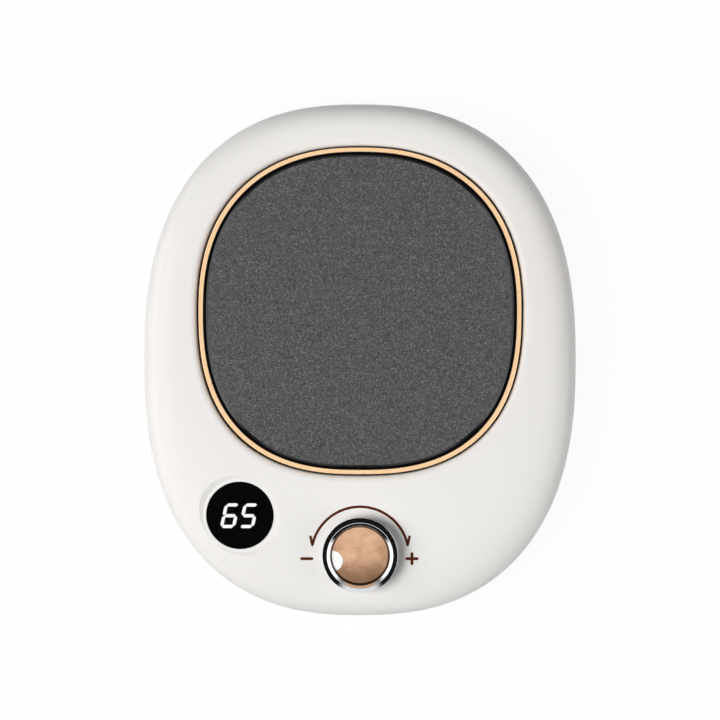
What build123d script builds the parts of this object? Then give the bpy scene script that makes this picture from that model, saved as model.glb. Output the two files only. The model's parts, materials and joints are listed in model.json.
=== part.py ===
from build123d import *

import math
import os

# Electric mug warmer. Millimetres, +X right, +Y rear, +Z up.
# The origin lies on the surface it stands on, under the middle of the outline.

# ---- outline and casing ----
body_width = 129.0
body_length = 152.8
body_power = 2.445  # squareness of an outline: 2 is an ellipse, larger is squarer
outline_points = 40
belt_height = 12.0  # widest level, where the two shells meet
crown_height = 28.0
base_height = 1.5  # underside of the base shell, over the feet
wall = 2.2
dome_power = 3.4
base_power = 3.0
base_inset = 6.0  # how far the underside lies inside the outline
form_steps = 14
panel_fit_points = 24
seam_gap = 0.3
register_lip_wall = 1.1
register_lip_height = 1.6
register_lip_root = 2.4
register_clearance = 0.15

join_overlap = 0.1  # how far two solids reach into each other before they are joined
screw_end_space = 0.3  # space past the end of a screw in its blind hole
level_tolerance = 1e-9
full_turn = 360
level_margin = 0.01  # for picking the edges at one level

# ---- heating plate and its seat ----
plate_y = 14.55
glass_half_width = 45.55
plate_extra_length = 0.6  # each half length minus its half width
plate_rear_power = 2.33  # the plate is rounder at its rear corners
plate_front_power = 2.5
glass_thickness = 4.0
glass_above_crown = 1.5
glass_bevel = 0.55
glass_edge_break = 0.25
seal_clearance = 0.08
seal_wall = 0.6
seal_floor = 0.6
seal_reach = 2.7
seal_top_below_glass = 1.35
ring_gap = 0.22
ring_width = 1.3
ring_height = 1.4
ring_top_below_glass = 0.9
ring_groove_width = 0.36
ring_groove_depth = 0.14
ring_edge_break = 0.1
opening_gap = 0.45  # dark gap between ring and shell
frame_clearance = 0.15
frame_floor_height = 2.9
lip_radius = 1.9
lip_land = 0.4
well_wall = 1.6
ledge_thickness = 1.4
ledge_reach = 4.6
spreader_thickness = 1.5
spreader_clearance = 0.5
film_thickness = 0.4
film_margin = 2.5
insulation_thickness = 3.0
insulation_margin = 2.0
retainer_thickness = 0.8
retainer_margin = 1.0
retainer_screw_inset = 3.0
retainer_screw_count = 6
retainer_screw_shank = 4.4
lead_slot_width = 12.0
lead_slot_depth = 4.0
lead_slot_offset = 17.96  # behind the middle of the plate
sensor_radius = 3.0
sensor_clearance = 0.4
sensor_flange_width = 2.0
sensor_flange_thickness = 1.0
cutout_width = 10.0
cutout_depth = 6.0
cutout_height = 4.0
cutout_x = 12.0
cutout_edge_round = 1.0

# ---- small screws ----
small_shank_radius = 0.95
small_head_radius = 1.9
small_head_height = 1.0
driver_slot_width = 0.5
driver_slot_depth = 0.45
driver_slot_length = 2.4
thread_clearance = 0.05  # between a shank and its pilot hole
pass_clearance = 0.25  # between a shank and a plain hole

# ---- casing screws and feet ----
rear_screw_x = 38.0
rear_screw_y = 54.0
front_screw_gap = 2.6  # between the front posts and the control board
front_screw_y = -61.5
boss_radius = 3.2
boss_foot = 8.0  # height where the upper bosses meet the lower posts
post_radius = 4.4
screw_floor = 2.0  # of the post, over the head of its screw
casing_shank_radius = 1.2
casing_head_radius = 2.6
casing_head_height = 2.0
casing_screw_length = 14.0
head_clearance = 0.4
foot_x = 33.0
rear_foot_y = 42.0
front_foot_y = -50.0
foot_radius = 6.5
foot_recess_depth = 0.8
foot_recess_clearance = 0.2
foot_edge_round = 0.6

# ---- display ----
lens_x = -35.64
lens_y = -46.1
lens_radius = 10.0
lens_thickness = 1.4
lens_clearance = 0.1
lens_edge_break = 0.25
recess_land = 1.0  # flat of the recess round the lens
recess_edge_depth = 0.06  # least depth of the recess, at the lowest point of its rim
recess_flare = 2.0  # how far its side leans out for each millimetre of height
recess_reach = 4.0
lens_pad_land = 1.7  # of the thick pad, round the recess
lens_pad_floor = 1.2
digit_height = 7.35
digit_width = 4.5
digit_pitch = 5.6
digits_x = -0.33  # middle of the two digits, from the middle of the lens
digits_y = -0.33
digit_slant = 13.0
segment_width = 0.92
segment_gap = 0.2
segment_thickness = 0.25
lens_to_digits = 0.3
module_width = 14.2
module_depth = 10.4
module_height = 5.6
module_clearance = 0.3
display_board_side = 2.9  # of the board beside its module
display_board_end = 3.0
display_screw_side = 1.1  # of a screw's axis beside the module
display_screw_end = 1.4
display_boss_radius = 1.9
display_screw_shank = 4.0

# ---- knob, built along its own axis from the panel outwards ----
knob_x = 0.0
knob_y = -56.88
knob_running_gap = 1.15
knob_height = 6.6
knob_flare = 1.05  # widest radius less foot radius
knob_rim_below_top = 0.75  # widest edge of the collar, under its crest
knob_outer_slope = 1.45  # widest radius less crest radius
knob_crest_width = 0.9  # crest radius less mouth radius
knob_mouth_margin = 0.55  # mouth radius less wood radius
knob_mouth_drop = 0.35  # mouth edge of the collar, under its crest
knob_edge_round = 0.16
collar_wall = 1.0
collar_land_depth = 2.9  # crest down to the land that carries the wood
insert_radius = 8.3
insert_thickness = 1.5
insert_dome = 0.35
insert_clearance = 0.12
marker_radius = 3.05
marker_angle = 192.0
marker_thickness = 0.7
marker_clearance = 0.04
hub_thickness = 1.6
hub_boss_wall = 1.6
hub_boss_gap = 0.3
hub_rib_count = 6
hub_rib_thickness = 0.8
hub_rib_depth = 1.0
shaft_radius = 3.0
shaft_flat = 1.5  # depth of the flat on the shaft
shaft_fit = 0.03
shaft_roof = 0.8

# ---- rotary encoder with a push switch ----
press_travel = 0.5
encoder_size = 12.4
encoder_corner = 0.8
encoder_height = 4.6
encoder_depth = 5.0  # top of its case under the panel surface
bushing_wall = 0.5
bushing_top = 0.3  # under the panel surface
bushing_hole_clearance = 0.35
bushing_fit = 0.05
plunger_clearance = 0.3
encoder_case_floor = 0.6
encoder_case_roof = 0.7
plunger_margin = 0.2  # of the plunger round the shaft's collar
plunger_thickness = 0.8
plunger_spare = 0.12  # left under the plunger when it is pressed
plunger_top_gap = 0.05
shaft_collar_step = 0.7
shaft_collar_height = 0.8
snap_dome_radius = 3.0
snap_dome_thickness = 0.1
terminal_pitch = 2.5
terminal_size = 0.5
terminal_length = 3.2
terminal_hole_radius = 0.45
terminal_inset = 1.0  # of each row, from the side of the case

# ---- control board under the knob ----
control_board_width = 40.0
control_board_depth = 21.0
board_thickness = 1.6
board_corner_radius = 1.5
control_screw_side = 3.2  # from the edges of the board to its screws
control_screw_end = 2.9
control_boss_radius = 2.3
control_screw_shank = 5.0
chip_x = -9.5
chip_y = -3.0
chip_size = 7.0
chip_height = 1.2
buzzer_x = 10.0
buzzer_y = -2.5
buzzer_radius = 5.0
buzzer_height = 4.6
buzzer_hole_radius = 0.9
buzzer_hole_depth = 1.2

# ---- power board ----
power_board_width = 44.0
power_board_length = 42.0
power_board_gap = 4.6  # from its rear edge to the inner face of the casing's widest line
power_tongue_width = 16.0
power_tongue_length = 3.6
power_post_height = 2.1
power_post_radius = 2.6
power_screw_side = 3.5
power_screw_inset = 4.0
power_screw_shank = 4.2
connector_height = 5.0
connector_depth = 5.0
connector_pitch = 2.5
side_connector_depth = 3.8
side_connector_height = 3.4
heater_connector_x = 14.0
sensor_connector_x = 3.0
rear_connectors_inset = 16.0  # behind the board's front edge
panel_connector_x = -12.0
panel_connector_inset = 4.0
transistor_x = -13.0
transistor_inset = 10.0  # in front of the board's rear edge
transistor_width = 6.6
transistor_depth = 6.2
transistor_height = 2.3
transistor_tab = 1.2
transistor_tab_thickness = 0.6
transistor_tab_inset = 0.5
capacitor_radius = 3.15
capacitor_height = 8.0
capacitor_x = 13.0
capacitor_inset = 10.0
capacitor_gap = 1.1

# ---- supply inlet, a type C receptacle ----
inlet_width = 8.94
inlet_height = 3.26
inlet_depth = 7.35
inlet_shell_wall = 0.3
inlet_recess = 0.6
inlet_clearance = 0.3
tongue_width = 6.69
tongue_thickness = 0.7
tongue_length = 4.45
insulator_depth = 1.8
insulator_clearance = 0.03

# ---- wires ----
heater_wire_radius = 0.6
sensor_wire_radius = 0.45
ribbon_wire_radius = 0.45
ribbon_pitch = 1.2
ribbon_count = 4
film_tap_x = 2.2
lead_bend = 4.0
lead_sag = 1.2
sensor_tap_x = 1.0
sensor_lead_drop = 4.5
sensor_lead_bend = 6.0
sensor_lead_rise = 0.6
ribbon_lead_out = 3.4  # straight part of the display ribbon at each header
ribbon_lead_in = 9.0  # straight part of the panel ribbon at the control board
ribbon_rise = 2.6
ribbon_first_run = 12.0
ribbon_middle_y = -14.0
ribbon_middle_drop = 0.6
bend_share = 0.45  # part of the shorter run that a bend may take

# ---- worked-out levels ----
half_width = body_width / 2
half_length = body_length / 2
glass_top = crown_height + glass_above_crown
body_powers = (body_power, body_power)
plate_powers = (plate_rear_power, plate_front_power)
opening_half_width = (
    glass_half_width + seal_clearance + seal_wall + ring_gap + ring_width + opening_gap
)
ring_inner = glass_half_width + seal_clearance + seal_wall + ring_gap
ring_outer = ring_inner + ring_width
frame_outer = opening_half_width - frame_clearance
crown_half_width = opening_half_width + lip_radius + lip_land
glass_bottom = glass_top - glass_thickness
frame_floor_top = glass_bottom - seal_floor
ledge_top = frame_floor_top - frame_floor_height
ledge_bottom = ledge_top - ledge_thickness
ledge_inner = opening_half_width - ledge_reach
ring_top = glass_top - ring_top_below_glass
ring_bottom = ring_top - ring_height
spreader_half_width = glass_half_width - seal_reach - spreader_clearance
spreader_bottom = glass_bottom - spreader_thickness
film_bottom = spreader_bottom - film_thickness
insulation_bottom = film_bottom - insulation_thickness
retainer_bottom = ledge_bottom - retainer_thickness
sensor_hole_radius = sensor_radius + sensor_clearance
sensor_flange_radius = sensor_radius + sensor_flange_width
lead_slot_y = plate_y + lead_slot_offset
cavity_floor = base_height + wall
board_bottom = cavity_floor + power_post_height
board_top = board_bottom + board_thickness
connector_top = board_top + connector_height
inlet_z = board_top + inlet_height / 2
power_board_rear = half_length - wall - power_board_gap
power_board_front = power_board_rear - power_board_length
power_screw_x = power_board_width / 2 - power_screw_side
rear_connectors_y = power_board_front + rear_connectors_inset
panel_connector_y = power_board_front + panel_connector_inset
transistor_y = power_board_rear - transistor_inset
capacitor_y = power_board_rear - capacitor_inset
capacitor_pitch = 2 * capacitor_radius + capacitor_gap
recess_radius = lens_radius + recess_land
lens_pad_radius = recess_radius + lens_pad_land
display_board_width = module_width + 2 * display_board_side
display_board_depth = module_depth + 2 * display_board_end
display_screw_x = module_width / 2 + display_screw_side
display_screw_y = module_depth / 2 + display_screw_end
knob_mouth_radius = insert_radius + knob_mouth_margin
knob_crest_radius = knob_mouth_radius + knob_crest_width
knob_top_radius = knob_crest_radius + knob_outer_slope
knob_foot_radius = knob_top_radius - knob_flare
hub_boss_radius = shaft_radius + hub_boss_wall
bushing_radius = shaft_radius + bushing_wall
shaft_collar_radius = shaft_radius + shaft_collar_step
plunger_radius = shaft_collar_radius + plunger_margin
encoder_cavity_radius = plunger_radius + plunger_clearance
terminal_row = encoder_size / 2 - terminal_inset
control_screw_x = control_board_width / 2 - control_screw_side
control_screw_y = control_board_depth / 2 - control_screw_end
knob_mouth_land = knob_running_gap + knob_height - collar_land_depth
hub_bottom = knob_mouth_land - hub_thickness
control_board_top = -encoder_depth - encoder_height
control_board_bottom = control_board_top - board_thickness
front_screw_x = control_board_width / 2 + front_screw_gap + post_radius
screw_seat = boss_foot - screw_floor
casing_screw_places = [
    (rear_screw_x, rear_screw_y),
    (-rear_screw_x, rear_screw_y),
    (front_screw_x, front_screw_y),
    (-front_screw_x, front_screw_y),
]
foot_places = [
    (foot_x, rear_foot_y),
    (-foot_x, rear_foot_y),
    (foot_x, front_foot_y),
    (-foot_x, front_foot_y),
]
power_screw_places = [
    (side * power_screw_x, place)
    for side in (-1, 1)
    for place in (power_board_front + power_screw_inset, power_board_rear - power_screw_inset)
]
control_screw_places = [
    (side * control_screw_x, end * control_screw_y) for side in (-1, 1) for end in (-1, 1)
]
display_screw_places = [(display_screw_x, -display_screw_y), (-display_screw_x, display_screw_y)]


# ---- outlines ----
def outline_reach(angle, half_x, half_y, powers):
    """Distance from the middle of an outline to its edge; powers are of its rear and front."""
    power = powers[0] if math.sin(angle) > 0 else powers[1]
    share_x = abs(math.cos(angle) / half_x) ** power
    share_y = abs(math.sin(angle) / half_y) ** power
    return (share_x + share_y) ** (-1 / power)


def rounded_wire(half_x, half_y, centre_y, level, powers):
    """Closed outline, its points evenly spaced in angle."""
    points = []
    for step in range(outline_points):
        angle = 2 * math.pi * step / outline_points
        reach = outline_reach(angle, half_x, half_y, powers)
        points.append((reach * math.cos(angle), centre_y + reach * math.sin(angle), level))
    return Wire([Edge.make_spline(points, periodic=True)])


def rounded_prism(half_x, half_y, centre_y, powers, low, high):
    """Upright prism on an outline."""
    outline = Face(rounded_wire(half_x, half_y, centre_y, low, powers))
    return Solid.extrude(outline, Vector(0, 0, high - low))


def plate_prism(half_x, low, high):
    """Upright prism on the outline of the heating plate."""
    return rounded_prism(half_x, half_x + plate_extra_length, plate_y, plate_powers, low, high)


def plate_ring(inner, outer, low, high):
    """Upright band that follows the outline of the heating plate."""
    return plate_prism(outer, low, high) - plate_prism(inner, low - 1, high + 1)


def plate_form(sections):
    """Solid with straight sides through outlines of the plate, each (half width, height)."""
    wires = [
        rounded_wire(half_x, half_x + plate_extra_length, plate_y, level, plate_powers)
        for half_x, level in sections
    ]
    return Solid.make_loft(wires, ruled=True)


def blend_values(first, last, share):
    """Value at a share of the way from first to last."""
    return first + (last - first) * share


# ---- the two curved forms ----
def dome_level(share, inset=0.0):
    """Half width, half length, centre, height and powers of the dome, crown to belt."""
    rise = crown_height - inset - belt_height - seam_gap / 2
    powers = [blend_values(*pair, share) for pair in zip(plate_powers, body_powers)]
    return (
        blend_values(crown_half_width, half_width - inset, share),
        blend_values(crown_half_width + plate_extra_length, half_length - inset, share),
        blend_values(plate_y, 0.0, share),
        belt_height + seam_gap / 2 + rise * (1 - share**dome_power) ** (1 / dome_power),
        powers,
    )


def base_level(share, inset=0.0):
    """The same five values for the base, from its underside to the belt."""
    drop = belt_height - seam_gap / 2 - base_height - inset
    return (
        blend_values(half_width - base_inset, half_width - inset, share),
        blend_values(half_length - base_inset, half_length - inset, share),
        0.0,
        belt_height - seam_gap / 2 - drop * (1 - share**base_power) ** (1 / base_power),
        body_powers,
    )


def curved_form(level_at, power, inset=0.0):
    """Solid through the sections of one form, evenly spaced along its curved side."""
    sections = []
    for step in range(form_steps + 1):
        turn = math.pi / 2 * step / form_steps
        share = math.sin(turn) ** (2 / power)
        if step == form_steps:
            share = 1.0
        sections.append(rounded_wire(*level_at(share, inset)))
    return Solid.make_loft(sections)


def dome_height(x, y):
    """Height of the outer dome over a place outside the crown."""
    low = 0.0
    high = 1.0
    while high - low > level_tolerance:
        share = (low + high) / 2
        half_x, half_y, centre_y, _, powers = dome_level(share)
        angle = math.atan2(y - centre_y, x)
        if math.hypot(x, y - centre_y) > outline_reach(angle, half_x, half_y, powers):
            low = share
        else:
            high = share
    return dome_level((low + high) / 2)[3]


def panel_plane(x, y, radius):
    """Plane that fits the dome best round a circle, its x axis level."""
    slope_x = 0.0
    slope_y = 0.0
    level = 0.0
    for step in range(panel_fit_points):
        angle = 2 * math.pi * step / panel_fit_points
        height = dome_height(x + radius * math.cos(angle), y + radius * math.sin(angle))
        slope_x += 2 * height * math.cos(angle) / (panel_fit_points * radius)
        slope_y += 2 * height * math.sin(angle) / (panel_fit_points * radius)
        level += height / panel_fit_points
    return Plane(origin=(x, y, level), x_dir=(1, 0, slope_x), z_dir=(-slope_x, -slope_y, 1))


# ---- plain solids ----
def post(x, y, radius, low, high):
    """Upright cylinder between two levels."""
    return Pos(x, y, (low + high) / 2) * Cylinder(radius, high - low)


def block(x, y, width, depth, low, high):
    """Upright box between two levels."""
    return Pos(x, y, (low + high) / 2) * Box(width, depth, high - low)


def ring_of(profile):
    """Solid of revolution about the knob's axis, from points (radius, height)."""
    face = make_face(Plane.XZ * Polyline(*profile, close=True))
    return revolve(face, Axis.Z)


def group(solids):
    """Separate solids kept as one node."""
    return Compound(children=[solid for item in solids for solid in item.solids()])


def without(solid, cuts):
    """Solid less each of a list of cuts."""
    for cut in cuts:
        solid = solid - cut
    return solid


def screw(x, y, seat, shank_radius, shank_length, head_radius, head_height):
    """Upward screw with its head under the seat and a slot across the head."""
    shank = post(x, y, shank_radius, seat - head_height, seat + shank_length)
    head = post(x, y, head_radius, seat - head_height, seat)
    slot = block(
        x, y, driver_slot_length, driver_slot_width, seat - head_height - 1,
        seat - head_height + driver_slot_depth,
    )
    return shank + head - slot


def small_screw(x, y, seat, shank_length):
    """Small upward screw."""
    return screw(
        x, y, seat, small_shank_radius, shank_length, small_head_radius, small_head_height
    )


def small_screw_down(x, y, seat, shank_length):
    """Small downward screw with its head over the seat."""
    upward = small_screw(0, 0, 0, shank_length)
    return Pos(x, y, seat) * Rot(full_turn / 2, 0, 0) * upward


def pilot_radius():
    """Hole that a small screw bites into."""
    return small_shank_radius + thread_clearance


def plain_radius():
    """Hole that a small screw passes through."""
    return small_shank_radius + pass_clearance


def wire(points, radius):
    """Round wire along straight runs joined by arcs as large as the runs allow."""
    corners = []
    for before, here, after in zip(points, points[1:], points[2:]):
        run_in = Vector(*here) - Vector(*before)
        run_out = Vector(*after) - Vector(*here)
        half_turn = math.radians(run_in.get_angle(run_out)) / 2
        corners.append(bend_share * min(run_in.length, run_out.length) / math.tan(half_turn))
    path = FilletPolyline(*points, radius=corners)
    return sweep(Plane(origin=path @ 0, z_dir=path % 0) * Circle(radius), path)


# ---- reference planes on the panel ----
knob_plane = panel_plane(knob_x, knob_y, knob_foot_radius)
display_plane = panel_plane(lens_x, lens_y, recess_radius)


def recess_floor():
    """Depth of the flat lens recess under the plane that fits the panel there."""
    depths = []
    for step in range(panel_fit_points):
        angle = 2 * math.pi * step / panel_fit_points
        flat = display_plane.from_local_coords(
            Vector(recess_radius * math.cos(angle), recess_radius * math.sin(angle), 0)
        )
        surface = Vector(flat.X, flat.Y, dome_height(flat.X, flat.Y))
        depths.append(display_plane.to_local_coords(surface).Z)
    return min(depths) - recess_edge_depth


lens_floor = recess_floor()
module_top = lens_floor - lens_thickness - lens_to_digits - segment_thickness
display_board_top = module_top - module_height
display_board_bottom = display_board_top - board_thickness


# ---- casing ----
def casing_bosses(middle):
    """Bosses that hang from the upper shell and take the casing screws."""
    bosses = []
    for x, y in casing_screw_places:
        boss = post(x, y, boss_radius, boss_foot, crown_height)
        bosses.append(boss & middle)
    return bosses


def panel_bosses(plane, places, radius, foot, middle):
    """Bosses under the panel, square to one of its planes."""
    solids = []
    for x, y in places:
        boss = plane * post(x, y, radius, foot, 1)
        solids.append(boss & middle)
    return solids


def make_top_shell():
    """Domed upper shell with the plate well, lens seat, knob hole and bosses."""
    outer = curved_form(dome_level, dome_power)
    inner = curved_form(dome_level, dome_power, wall)
    middle = curved_form(dome_level, dome_power, wall / 2)
    below = block(0, 0, body_width, body_length, 0, belt_height + seam_gap)
    shell = outer - inner
    well = plate_ring(ledge_inner, opening_half_width + well_wall, ledge_bottom, crown_height - wall / 2)
    shell = shell + well
    reach = middle + below
    for boss in casing_bosses(reach):
        shell = shell + boss
    for boss in panel_bosses(
        knob_plane, control_screw_places, control_boss_radius, control_board_top, reach
    ):
        shell = shell + boss
    for boss in panel_bosses(
        display_plane, display_screw_places, display_boss_radius, display_board_top, reach
    ):
        shell = shell + boss
    pad_low = lens_floor - lens_thickness - lens_pad_floor
    pad = display_plane * post(0, 0, lens_pad_radius, pad_low, 1)
    shell = shell + (pad & middle)
    shell = shell - plate_prism(opening_half_width, ledge_top, crown_height + 1)
    shell = shell - plate_prism(ledge_inner, 0, ledge_top + 1)
    rim = shell.edges().filter_by_position(Axis.Z, crown_height - level_margin, crown_height + level_margin)
    shell = shell.fillet(lip_radius, [rim.sort_by(SortBy.LENGTH)[0]])
    return without(shell, top_shell_holes())


def recess_cutter():
    """Flat floor with a side that leans outwards."""
    return ring_of(
        [
            (0, lens_floor),
            (recess_radius, lens_floor),
            (recess_radius + recess_flare * recess_reach, lens_floor + recess_reach),
            (0, lens_floor + recess_reach),
        ]
    )


def top_shell_holes():
    """Recess, pocket, window and screw holes of the upper shell."""
    lens_pocket_floor = lens_floor - lens_thickness
    cuts = [
        display_plane * recess_cutter(),
        display_plane * post(0, 0, lens_radius + lens_clearance, lens_pocket_floor, recess_reach),
        display_plane * block(
            0, 0, module_width + 2 * module_clearance, module_depth + 2 * module_clearance,
            display_board_top, 1,
        ),
        knob_plane * post(0, 0, bushing_radius + bushing_hole_clearance, -wall * 2, 2),
    ]
    for x, y in casing_screw_places:
        radius = casing_shank_radius + thread_clearance
        cuts.append(post(x, y, radius, boss_foot - 1, screw_seat + casing_screw_length + 1))
    for x, y in control_screw_places:
        depth = control_board_bottom + control_screw_shank + screw_end_space
        cuts.append(knob_plane * post(x, y, pilot_radius(), control_board_top - 1, depth))
    for x, y in display_screw_places:
        depth = display_board_bottom + display_screw_shank + screw_end_space
        cuts.append(display_plane * post(x, y, pilot_radius(), display_board_top - 1, depth))
    for x, y in retainer_screw_places():
        cuts.append(post(x, y, pilot_radius(), ledge_bottom - 1, ledge_top + 1))
    return cuts


def inlet_outline(margin):
    """Face of the receptacle's outline, seen from the rear."""
    return Plane.XZ * SlotOverall(inlet_width + 2 * margin, inlet_height + 2 * margin)


def rear_wall_y():
    """Outer face of the base shell at the height of the inlet."""
    low = 0.0
    high = 1.0
    while high - low > level_tolerance:
        share = (low + high) / 2
        if base_level(share)[3] < inlet_z:
            low = share
        else:
            high = share
    return base_level(high)[1]


def make_base_shell():
    """Lower shell with its register lip, posts, feet recesses and inlet hole."""
    outer = curved_form(base_level, base_power)
    inner = curved_form(base_level, base_power, wall)
    shell = outer - inner
    lip_outer = half_width - wall - register_clearance
    lip_inner = lip_outer - register_lip_wall
    extra = half_length - half_width
    seam = belt_height - seam_gap / 2
    lip_low = seam - register_lip_root
    lip_high = belt_height + seam_gap / 2 + register_lip_height
    lip = rounded_prism(lip_outer, lip_outer + extra, 0, body_powers, lip_low, lip_high)
    root_outer = half_width - wall / 2
    root = rounded_prism(root_outer, root_outer + extra, 0, body_powers, lip_low, seam)
    middle = curved_form(base_level, base_power, wall / 2)
    lip = lip + (root & middle)
    lip = lip - rounded_prism(lip_inner, lip_inner + extra, 0, body_powers, 0, lip_high + 1)
    shell = shell + lip
    for x, y in casing_screw_places:
        shell = shell + post(x, y, post_radius, base_height + wall / 2, boss_foot)
    for x, y in power_screw_places:
        shell = shell + post(x, y, power_post_radius, base_height + wall / 2, board_bottom)
    cuts = []
    for x, y in casing_screw_places:
        cuts.append(post(x, y, casing_head_radius + head_clearance, 0, screw_seat))
        cuts.append(post(x, y, casing_shank_radius + pass_clearance, 0, boss_foot + 1))
    for x, y in power_screw_places:
        depth = board_top - power_screw_shank - screw_end_space
        cuts.append(post(x, y, pilot_radius(), depth, board_bottom + 1))
    for x, y in foot_places:
        cuts.append(
            post(x, y, foot_radius + foot_recess_clearance, 0, base_height + foot_recess_depth)
        )
    hole = Pos(0, half_length + 1, inlet_z) * extrude(
        inlet_outline(inlet_clearance), amount=2 * wall + 2
    )
    cuts.append(hole)
    return without(shell, cuts)


def make_feet():
    """Four rubber feet in their recesses."""
    feet = []
    for x, y in foot_places:
        foot = post(x, y, foot_radius, 0, base_height + foot_recess_depth)
        sole = foot.edges().group_by(Axis.Z)[0]
        feet.append(fillet(sole, foot_edge_round))
    return group(feet)


def make_casing_screws():
    """Four screws that hold the shells together."""
    return group(
        [
            screw(
                x, y, screw_seat, casing_shank_radius, casing_screw_length,
                casing_head_radius, casing_head_height,
            )
            for x, y in casing_screw_places
        ]
    )


# ---- heating plate ----
def retainer_screw_places():
    """Places round the ledge for the screws of the heater retainer."""
    places = []
    reach_x = opening_half_width - retainer_screw_inset
    reach_y = reach_x + plate_extra_length
    for step in range(retainer_screw_count):
        angle = 2 * math.pi * (step + 0.5) / retainer_screw_count
        reach = outline_reach(angle, reach_x, reach_y, plate_powers)
        places.append((reach * math.cos(angle), plate_y + reach * math.sin(angle)))
    return places


def retainer_thread_top():
    """Height that the retainer screws' holes reach."""
    return retainer_bottom + retainer_screw_shank + screw_end_space


def make_plate_frame():
    """Black frame on the ledge that carries the gold ring and the seal."""
    floor = plate_ring(ledge_inner, frame_outer, ledge_top, frame_floor_top)
    side = plate_ring(
        glass_half_width + seal_clearance + seal_wall + seal_clearance,
        frame_outer, frame_floor_top, ring_bottom,
    )
    holes = [
        post(x, y, pilot_radius(), ledge_top - 1, retainer_thread_top())
        for x, y in retainer_screw_places()
    ]
    return without(floor + side, holes)


def make_trim_ring():
    """Gold ring with broken edges and a shallow groove round its top."""
    shoulder = ring_top - ring_edge_break
    outside = plate_form(
        [(ring_outer, ring_bottom), (ring_outer, shoulder), (ring_outer - ring_edge_break, ring_top)]
    )
    inside = plate_form(
        [(ring_inner, ring_bottom - 1), (ring_inner, shoulder), (ring_inner + 2 * ring_edge_break,
                                                                 ring_top + ring_edge_break)]
    )
    middle = (ring_inner + ring_outer) / 2
    groove = plate_ring(
        middle - ring_groove_width / 2, middle + ring_groove_width / 2,
        ring_top - ring_groove_depth, ring_top + 1,
    )
    return outside - inside - groove


def make_plate_seal():
    """Silicone gasket under and round the edge of the glass."""
    inner = glass_half_width + seal_clearance
    floor = plate_ring(glass_half_width - seal_reach, inner + seal_wall, frame_floor_top, glass_bottom)
    side = plate_ring(inner, inner + seal_wall, glass_bottom, glass_top - seal_top_below_glass)
    return floor + side


def make_plate_glass():
    """Glass heating plate with a polished bevel."""
    return plate_form(
        [
            (glass_half_width - glass_edge_break, glass_bottom),
            (glass_half_width, glass_bottom + glass_edge_break),
            (glass_half_width, glass_top - glass_bevel),
            (glass_half_width - glass_bevel, glass_top),
        ]
    )


def lead_slot(low, high):
    """Slot that the heater leads pass through."""
    return block(0, lead_slot_y, lead_slot_width, lead_slot_depth, low, high)


def make_heating_film():
    """Etched film heater bonded under the heat spreader."""
    film = plate_prism(spreader_half_width - film_margin, film_bottom, spreader_bottom)
    return film - post(0, plate_y, sensor_hole_radius, film_bottom - 1, spreader_bottom + 1)


def make_insulation_pad():
    """Insulating pad under the heating film."""
    pad = plate_prism(spreader_half_width - insulation_margin, insulation_bottom, film_bottom)
    hole = post(0, plate_y, sensor_hole_radius, insulation_bottom - 1, film_bottom + 1)
    return without(pad, [hole, lead_slot(insulation_bottom - 1, film_bottom + 1)])


def make_heater_retainer():
    """Pressed plate that holds the heater stack up against the glass."""
    half = opening_half_width - retainer_margin
    plate = plate_prism(half, retainer_bottom, ledge_bottom)
    cuts = [
        post(0, plate_y, sensor_hole_radius, 0, crown_height),
        lead_slot(0, crown_height),
    ]
    for x, y in retainer_screw_places():
        cuts.append(post(x, y, plain_radius(), 0, crown_height))
    return without(plate, cuts)


def make_retainer_screws():
    """Screws through the retainer and the ledge into the plate frame."""
    return group(
        [
            small_screw(x, y, retainer_bottom, retainer_screw_shank)
            for x, y in retainer_screw_places()
        ]
    )


def make_temperature_sensor():
    """Sensor that touches the heat spreader through the stack."""
    foot = retainer_bottom - sensor_flange_thickness
    stem = post(0, plate_y, sensor_radius, foot, spreader_bottom)
    flange = post(0, plate_y, sensor_flange_radius, foot, retainer_bottom)
    return stem + flange


def make_thermal_cutout():
    """Thermal cut-out clamped to the retainer."""
    body = block(
        cutout_x, lead_slot_y, cutout_width, cutout_depth,
        retainer_bottom - cutout_height, retainer_bottom,
    )
    return fillet(body.edges().filter_by(Axis.X).group_by(Axis.Z)[0], cutout_edge_round)


def make_heater_leads():
    """Leads from the film to the power board, one of them by way of the cut-out."""
    lead_level = retainer_bottom - cutout_height / 2
    sag_level = lead_level - lead_sag
    bend_y = rear_connectors_y - lead_bend
    first_pin = heater_connector_x - connector_pitch / 2
    second_pin = heater_connector_x + connector_pitch / 2
    cutout_left = cutout_x - cutout_width / 2
    cutout_right = cutout_x + cutout_width / 2
    direct = [
        (-film_tap_x, lead_slot_y, film_bottom),
        (-film_tap_x, lead_slot_y, lead_level),
        (first_pin - lead_bend, bend_y, lead_level - lead_sag / 2),
        (first_pin, rear_connectors_y, sag_level),
        (first_pin, rear_connectors_y, connector_top),
    ]
    to_cutout = [
        (film_tap_x, lead_slot_y, film_bottom),
        (film_tap_x, lead_slot_y, lead_level),
        (cutout_left, lead_slot_y, lead_level),
    ]
    from_cutout = [
        (cutout_right, lead_slot_y, lead_level),
        (cutout_right + lead_bend, lead_slot_y, lead_level),
        (second_pin + lead_bend, bend_y, sag_level),
        (second_pin, rear_connectors_y, lead_level - lead_sag / 2),
        (second_pin, rear_connectors_y, connector_top),
    ]
    return group([wire(run, heater_wire_radius) for run in (direct, to_cutout, from_cutout)])


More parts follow.
